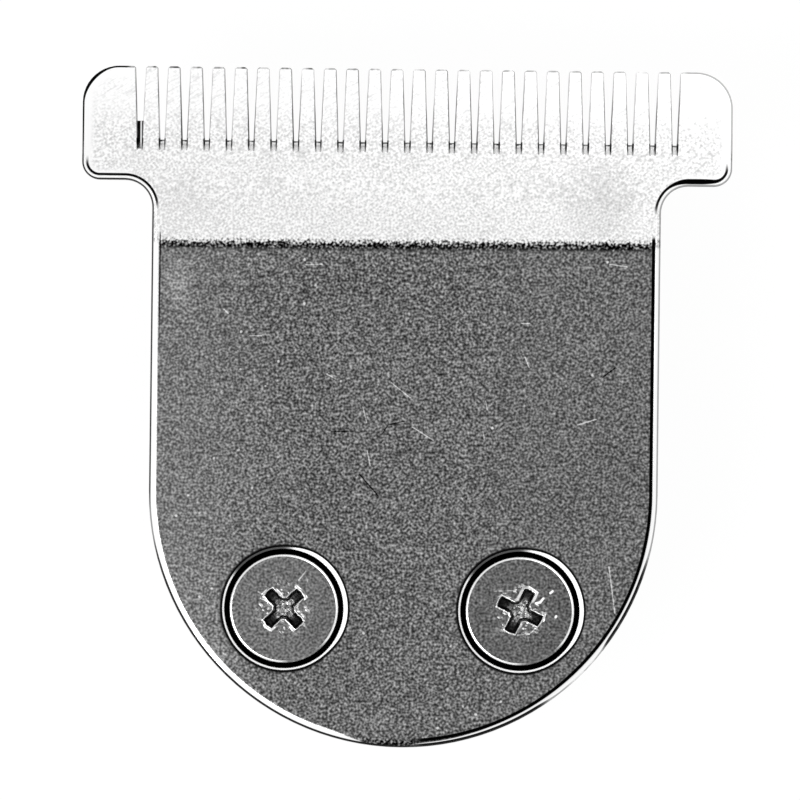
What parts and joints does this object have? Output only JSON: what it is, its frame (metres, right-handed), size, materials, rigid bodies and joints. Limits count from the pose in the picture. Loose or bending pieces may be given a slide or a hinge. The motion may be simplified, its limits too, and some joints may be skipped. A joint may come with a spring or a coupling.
{
  "type": "hair trimmer t-blade set",
  "caption": "Clip-on T-shaped trimmer blade: ground comb blade screwed to a moulded carrier, with a sprung sliding cutter and drive fork behind it.",
  "frame": {"origin": "under the middle of the set, level with the rim of the carrier's open back", "axes": "+Z out of the fixed blade's front face, +Y towards the tooth tips, +X to the right seen from the front"},
  "size_m": [0.04, 0.0418, 0.0098],
  "materials": {
    "blade_steel": "blasted dark body with a bright ground bevel at the teeth",
    "cutter_steel": "ground",
    "driver_plastic": "moulded, satin",
    "spring_steel": "drawn wire",
    "carrier_plastic": "moulded, fine texture",
    "screw_steel": "satin, worn round the recess"
  },
  "bodies": {
    "blade_body": {"fixed_blade": "blade_steel", "blade_carrier": "carrier_plastic", "tension_spring": "spring_steel", "left_screw": "screw_steel", "right_screw": "screw_steel"},
    "cutter": {"moving_cutter": "cutter_steel", "cutter_driver": "driver_plastic"}
  },
  "joints": [
    {"name": "cutter_slide", "type": "slide", "parent": "blade_body", "child": "cutter", "axis": [1, 0, 0], "range_m": [-0.00189, 0.00051]}
  ]
}
